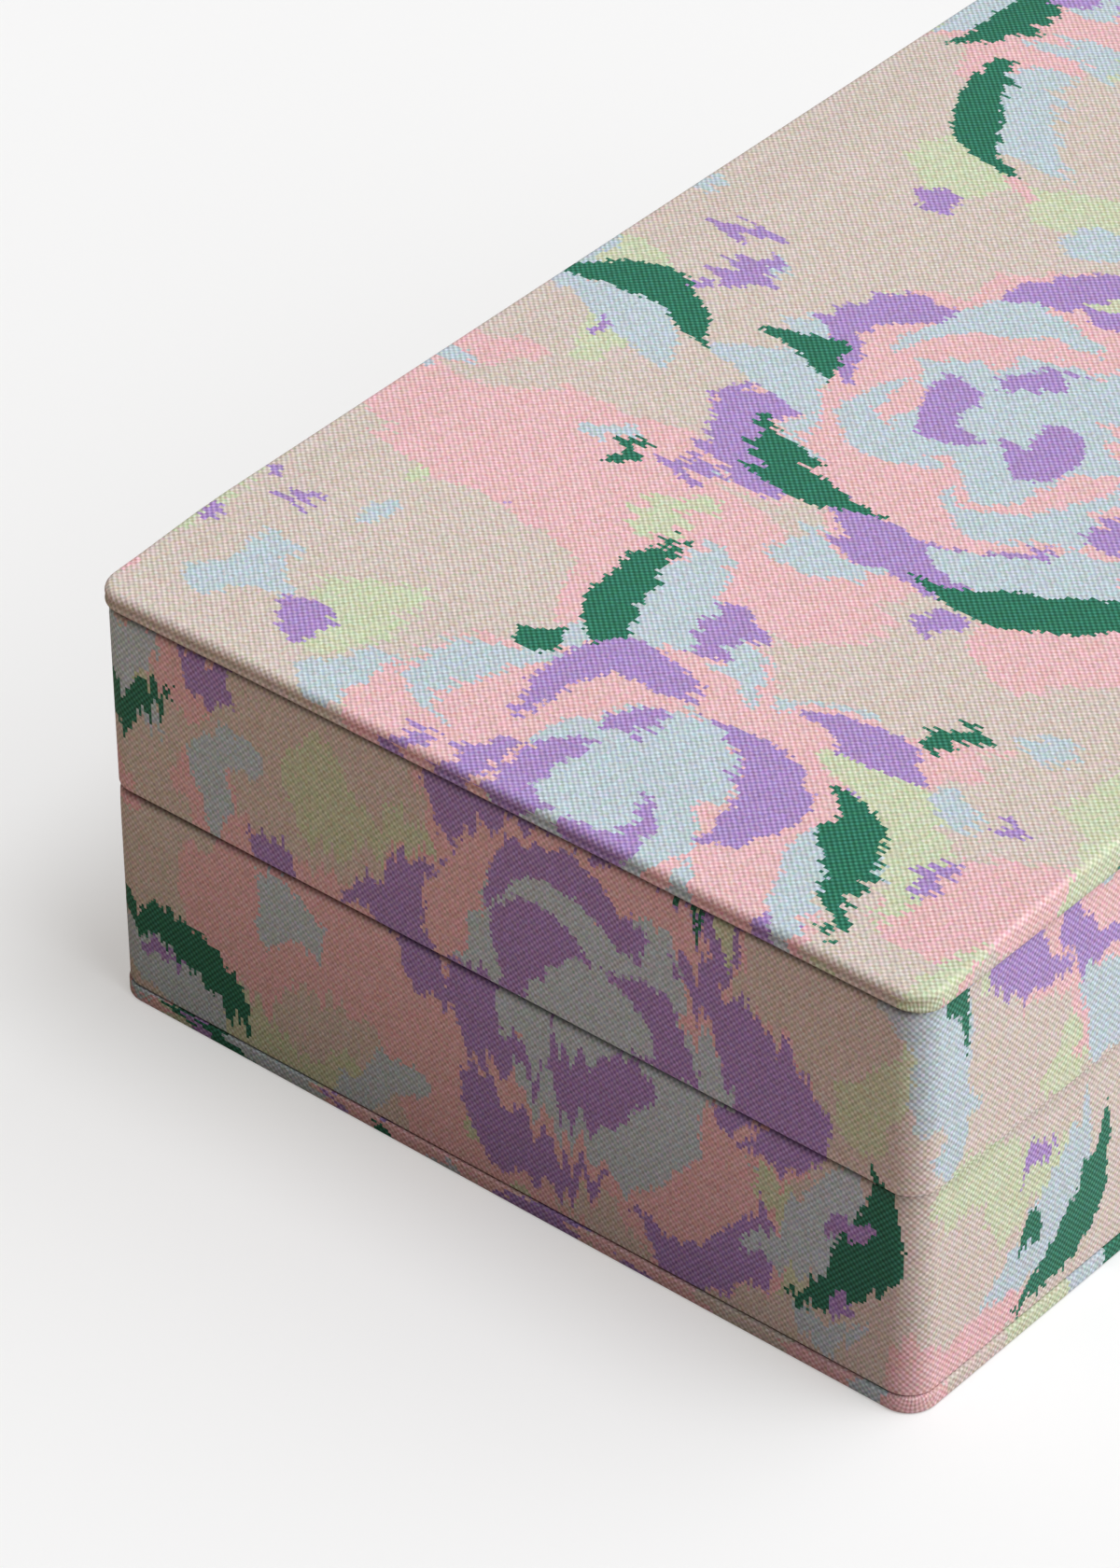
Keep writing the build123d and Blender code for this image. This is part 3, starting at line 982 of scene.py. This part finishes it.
def make_pad(half, seam, way, height):
    """A pad's satin cover and the foam inside it."""
    outline = Outline(pad_length, pad_width, pad_radius, 2.0, 8)
    pinned = 0.4
    full_at = None
    full_at = swollen(pad_length - 2 * pinned, pad_width - 2 * pinned, 2.0, seam)

    def swelled(k, offset, level, shrink):
        """The level as drawn, or over the pad's face as high as its cloth has swelled."""
        depth = -offset - shrink - pinned
        if full_at is None or depth < 0 or level < height * 0.48:
            return level
        side = shrink + (height - 2 * shrink) / 2
        crown = side + (height - shrink - side) * full_at(*outline.point(k, offset))
        return level + (crown - level) * eased(depth / 1.8)

    def make_layer(name, section, shrinks, material, middle):
        def place(k, j):
            offset, level = section[j]
            level = swelled(k, offset, level, shrinks[j])
            return *outline.point(k, offset), seam + way * level

        name = f"{half}_{name}"
        return make_mesh(name, outline.count, len(section), place, material, middle=middle)

    outer = finer(pad_section(height, 0.0, pad_turn_in), 2.0)
    inner = finer(list(reversed(pad_section(height, satin, pad_turn_in))), 6.0)
    shrinks = [0.0] * len(outer) + [satin] * len(inner)
    cover = make_layer("pad_satin", outer + inner, shrinks, lining_satin, len(outer) - 1)

    card_top = satin + pad_card
    shrink = satin + foam_gap
    rounded = [p for p in pad_section(height, shrink, 1.0)[2:] if p[1] > card_top + 0.1]
    inside = finer([(-pad_width / 2, card_top), (-1.2, card_top)] + rounded, 6.0)
    core = make_layer("foam", inside, [shrink] * len(inside), foam, len(inside) - 1)
    return cover, core


base_pad_cover, base_foam = make_pad("base", base_seam, 1, base_pad)
lid_pad_cover, lid_foam = make_pad("lid", lid_seam, -1, lid_pad)


def sweep_tree():
    """Geometry nodes that carry an outline, given as a ring of edges, along the box's length."""
    tree = bpy.data.node_groups.new("sweep_along_length", "GeometryNodeTree")
    for name, way, kind in (
        ("Outline", "INPUT", "Geometry"),
        ("Left end", "INPUT", "Vector"),
        ("Right end", "INPUT", "Vector"),
        ("Stops", "INPUT", "Int"),
        ("Cloth", "INPUT", "Material"),
        ("Strip", "OUTPUT", "Geometry"),
    ):
        tree.interface.new_socket(name, in_out=way, socket_type="NodeSocket" + kind)
    given = tree.nodes.new("NodeGroupInput").outputs

    def step(kind, **links):
        node = tree.nodes.new(kind)
        for name, source in links.items():
            socket = node.inputs[name.replace("_", " ")]
            if isinstance(source, bpy.types.NodeSocket):
                tree.links.new(source, socket)
            else:
                socket.default_value = source
        return node.outputs[0]

    path = step(
        "GeometryNodeCurvePrimitiveLine", Start=given["Left end"], End=given["Right end"]
    )
    path = step("GeometryNodeResampleCurve", Curve=path, Count=given["Stops"])
    ring = step("GeometryNodeMeshToCurve", Mesh=given["Outline"])
    strip = step("GeometryNodeCurveToMesh", Curve=path, Profile_Curve=ring, Fill_Caps=True)
    strip = step("GeometryNodeRealizeInstances", Geometry=strip)
    strip = step("GeometryNodeSetMaterial", Geometry=strip, Material=given["Cloth"])
    tree.links.new(strip, tree.nodes.new("NodeGroupOutput").inputs["Strip"])
    return tree


def sweep(name, outline, half_run, stops, material):
    """The outline, as distances towards the back and up, carried along the box between two ends."""
    corners = [(-y * MM, -z * MM, 0.0) for y, z in outline]
    ring = [(k, (k + 1) % len(corners)) for k in range(len(corners))]
    piece = add_shape(name, corners, ring, [])
    modifier = piece.modifiers.new("sweep", "NODES")
    modifier.node_group = sweep_tree()
    end = half_run * MM
    sizes = {
        "Left end": (-end, 0.0, 0.0),
        "Right end": (end, 0.0, 0.0),
        "Stops": stops,
        "Cloth": material,
    }
    for socket in modifier.node_group.interface.items_tree:
        if socket.in_out == "INPUT" and socket.name in sizes:
            modifier[socket.identifier] = sizes[socket.name]
    swept = piece.evaluated_get(bpy.context.evaluated_depsgraph_get())
    mesh = bpy.data.meshes.new_from_object(swept)
    piece.modifiers.clear()
    piece.data = mesh
    shaper = bmesh.new()
    shaper.from_mesh(mesh)
    close_skin(shaper, mesh, 60.0)
    return piece


def make_hinge():
    """The tape: up the tray's wall, over its rim, back over itself and up the lid's wall."""
    low, high, bend = hinge_low_level, hinge_high_level, hinge_corner
    middle = (low + high) / 2
    fold = (high - low) / 2
    line = [(hinge_leg_y, hinge_low_end), (hinge_leg_y, low - bend)]
    line += arc((hinge_leg_y + bend, low - bend), -bend, bend, 0, 90, 4)[1:]
    line += [(hinge_leg_y + 1.5, low), (hinge_fold_y - 0.3, low)]
    line += arc((hinge_fold_y, middle), fold, fold, -90, 90, 24)
    line += [(hinge_fold_y - 0.3, high), (hinge_leg_y + 1.5, high)]
    line += arc((hinge_leg_y + bend, high + bend), -bend, bend, -90, 0, 4)[:-1]
    line += [(hinge_leg_y, high + bend), (hinge_leg_y, hinge_high_end)]
    half = hinge_cloth / 2
    left, right = [], []
    for k, (y, z) in enumerate(line):
        before = line[max(k - 1, 0)]
        after = line[min(k + 1, len(line) - 1)]
        step_y, step_z = after[0] - before[0], after[1] - before[1]
        size = math.hypot(step_y, step_z)
        left.append((y - half * step_z / size, z + half * step_y / size))
        right.append((y + half * step_z / size, z - half * step_y / size))
    return sweep("hinge_strip", left + right[::-1], hinge_half_run, hinge_stops, hinge_tape)


hinge_strip = make_hinge()

# What each made piece moves with, the frame part that it stands for and hides, and a finish name
# that nothing uses
for piece, body, node, finish in (
    (lid_panel_cloth, "lid", "lid_panel_cloth", "brocade"),
    (base_panel_cloth, "base", "base_panel_cloth", "brocade"),
    (lid_wall_cloth, "lid", "lid_wall_cloth", "brocade"),
    (base_wall_cloth, "base", "base_wall_cloth", "brocade"),
    (lid_wadding, "lid", "lid_panel_wadding", "wadding"),
    (base_pad_cover, "base", "base_pad_cover", "satin"),
    (lid_pad_cover, "lid", "lid_pad_cover", "satin"),
    (base_foam, "base", "base_pad_foam", "foam"),
    (lid_foam, "lid", "lid_pad_foam", "foam"),
    *(
        (piece, half, f"{half}_{side}_lining_satin", "satin")
        for (half, side), piece in linings.items()
    ),
):
    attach(piece, body)
    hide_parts(node)

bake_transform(hinge_strip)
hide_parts("cloth_hinge")

# Finishes of the hard parts, which stay as the frame has them
for name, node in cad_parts.items():
    for ending, finish in (
        ("_wall", wall_board), ("_card", grey_board), ("_board", grey_board),
        ("_magnets", nickel), ("_keepers", steel),
    ):
        if name.endswith(ending):
            node.data.materials.clear()
            node.data.materials.append(finish)

# The cloths, the sizes that they were cut to and the parts under them. The loop only turns each
# entry of parts into a list and keeps nothing
wall_run = 0.5125
walls = {half: [f"{half}_{side}_wall" for side, _, _ in sides] for half in ("base", "lid")}
for piece, flat, under in (
    (lid_panel_cloth, (0.1850, 0.1250), ["lid_panel_board", "lid_wadding"]),
    (base_panel_cloth, (0.1828, 0.1228), ["base_panel_board"]),
    (lid_wall_cloth, (wall_run, 0.0377), walls["lid"]),
    (base_wall_cloth, (wall_run, 0.0400), walls["base"]),
):
    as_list(under)

# Camera at the photograph's angle, with its focal length in the photograph's pixels
focal_length = 7863.64
photograph_height = 1680
sensor = 36.0
aim = Vector((56.554, -11.894, 30.0)) * MM
ahead = Vector((-0.6041, -0.5216, -0.6025)).normalized()
distance = 699.36 * MM
roll = -0.014469
level_right = ahead.cross(Vector((0, 0, 1))).normalized()
level_up = level_right.cross(ahead)
right = level_right * math.cos(roll) + level_up * math.sin(roll)
up = level_up * math.cos(roll) - level_right * math.sin(roll)
turn = Matrix((right, up, -ahead)).transposed()
camera_data = bpy.data.cameras.new("camera")
camera_data.sensor_width = sensor
camera_data.lens = sensor * focal_length / photograph_height
camera_data.clip_start = 0.01
camera = add_object("camera", camera_data)
camera.matrix_world = Matrix.Translation(aim - ahead * distance) @ turn.to_4x4()
bpy.context.scene.camera = camera


def add_light(name, energy, spread, direction, colour):
    """A broad soft light from one side: its strength, how wide it looks and where it comes from."""
    data = bpy.data.lights.new(name, "SUN")
    data.energy = energy
    data.angle = math.radians(spread)
    data.color = colour
    light = add_object(name, data)
    light.rotation_euler = Vector(direction).to_track_quat("Z", "Y").to_euler()


daylight = (0.975, 1.0, 1.025)
add_light("overhead_light", 1.35, 26, (-0.09, 0.31, 0.945), daylight)
add_light("window_light", 2.3, 84, (-0.43, 0.6, 0.669), daylight)

# The floor is white to the camera, and darker to the light that it throws back at the box
reach = 3.0
floor_level = -0.00003
corners = [(x * reach, y * reach, floor_level) for x, y in ((-1, -1), (1, -1), (1, 1), (-1, 1))]
floor = add_shape("floor", corners, [], [(0, 1, 2, 3)])
paper = Finish("floor_paper", Specular_IOR_Level=0.1, Roughness=0.9, Emission_Strength=1.0)
seen = paper.node("ShaderNodeLightPath", output="Is Camera Ray")
floor_x, floor_y, _ = paper.split(paper.place())
bright_side = ((floor_y - floor_x) * 6.0 + 0.5).held()
off_the_end = ((floor_x - 0.08) * 8.0).held()
thrown_back = paper.over((0.27, 0.18, 0.175, 1.0), off_the_end, (0.61, 0.425, 0.415, 1.0))
towards_back = (floor_y * 9.0 + 0.4).held()
warmth = paper.over((1.0, 1.16, 0.94, 1.0), towards_back, (1.0, 1.0, 1.02, 1.0))
thrown_back = paper.over(paper.times(thrown_back, warmth), bright_side, (0.84, 0.83, 0.82, 1.0))
paper.put("Base Color", paper.over(thrown_back, seen, (0.482, 0.488, 0.494, 1.0)))
paper.put("Emission Color", paper.over((0.0, 0.0, 0.0, 1.0), seen, (0.412, 0.404, 0.396, 1.0)))
floor.data.materials.append(paper.material)

# The sky is dim to the box, and bright to the camera
world = bpy.data.worlds.new("studio")
world.use_nodes = True
sky = world.node_tree.nodes["Background"]
path = world.node_tree.nodes.new("ShaderNodeLightPath")
mix = world.node_tree.nodes.new("ShaderNodeMix")
mix.data_type = "RGBA"
mix.inputs[6].default_value = (0.21, 0.188, 0.165, 1.0)
mix.inputs[7].default_value = (0.95, 0.948, 0.94, 1.0)
world.node_tree.links.new(path.outputs["Is Camera Ray"], mix.inputs[0])
world.node_tree.links.new(mix.outputs[2], sky.inputs["Color"])
bpy.context.scene.world = world
bpy.context.scene.view_settings.view_transform = "Standard"
